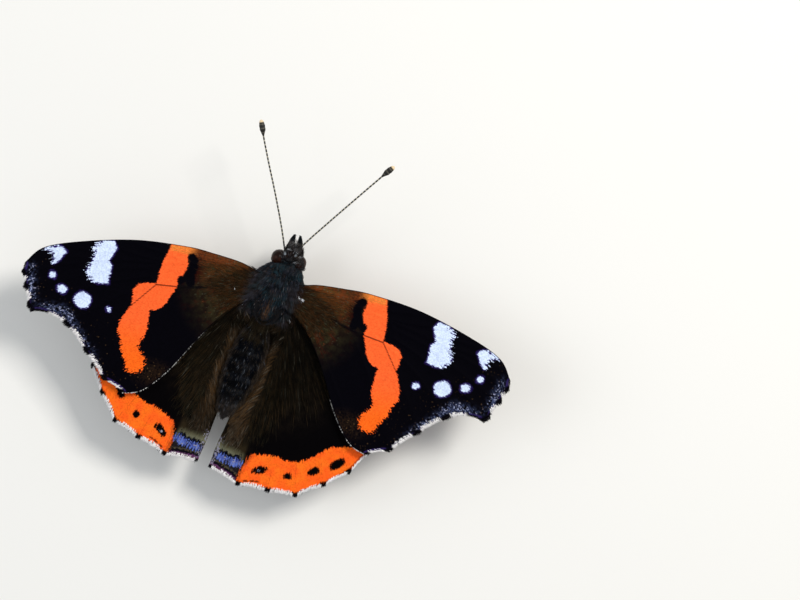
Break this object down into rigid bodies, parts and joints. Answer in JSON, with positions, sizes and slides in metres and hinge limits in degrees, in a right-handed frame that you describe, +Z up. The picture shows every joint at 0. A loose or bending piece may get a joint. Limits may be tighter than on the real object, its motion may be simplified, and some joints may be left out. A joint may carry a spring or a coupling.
{
  "type": "red admiral butterfly",
  "caption": "Red admiral butterfly at rest with its wings spread: dark wings with an orange-red band and hindwing border, and white marks near the forewing tips.",
  "frame": {"origin": "on the floor that the feet stand on, under the middle of the bounding box", "axes": "+X to the butterfly's right, +Y towards its head, +Z up"},
  "size_m": [0.0696, 0.0502, 0.0119],
  "materials": {
    "forewing": "matt scales: dark brown-black with an orange-red band, white marks near the tip",
    "hindwing": "matt scales: dark brown with an orange-red border, black dots and a blue patch",
    "thorax_fur": "dense soft fur, blue-grey to black-brown",
    "abdomen_fur": "short fur and scales, blue-black with brown rings",
    "head_fur": "short tufted fur, dark brown",
    "eye": "glossy faceted, reddish brown",
    "antenna": "black with fine white rings",
    "antenna_club": "black with a cream tip",
    "palp": "furry, grey-brown",
    "leg": "brown-buff, scaled and spined",
    "foreleg": "furry, grey-brown",
    "proboscis": "dark brown, smooth"
  },
  "bodies": {
    "root": {"prothorax": "thorax_fur", "thorax": "thorax_fur", "abdomen": "abdomen_fur", "head": "head_fur", "proboscis": "proboscis", "eye_right": "eye", "antenna_right": "antenna", "antenna_club_right": "antenna_club", "palp_right": "palp", "forewing_right": "forewing", "hindwing_right": "hindwing", "foreleg_right": "foreleg", "mid_femur_right": "leg", "mid_tibia_right": "leg", "mid_tarsus_right": "leg", "hind_femur_right": "leg", "hind_tibia_right": "leg", "hind_tarsus_right": "leg", "eye_left": "eye", "antenna_left": "antenna", "antenna_club_left": "antenna_club", "palp_left": "palp", "forewing_left": "forewing", "hindwing_left": "hindwing", "foreleg_left": "foreleg", "mid_femur_left": "leg", "mid_tibia_left": "leg", "mid_tarsus_left": "leg", "hind_femur_left": "leg", "hind_tibia_left": "leg", "hind_tarsus_left": "leg"}
  },
  "joints": []
}
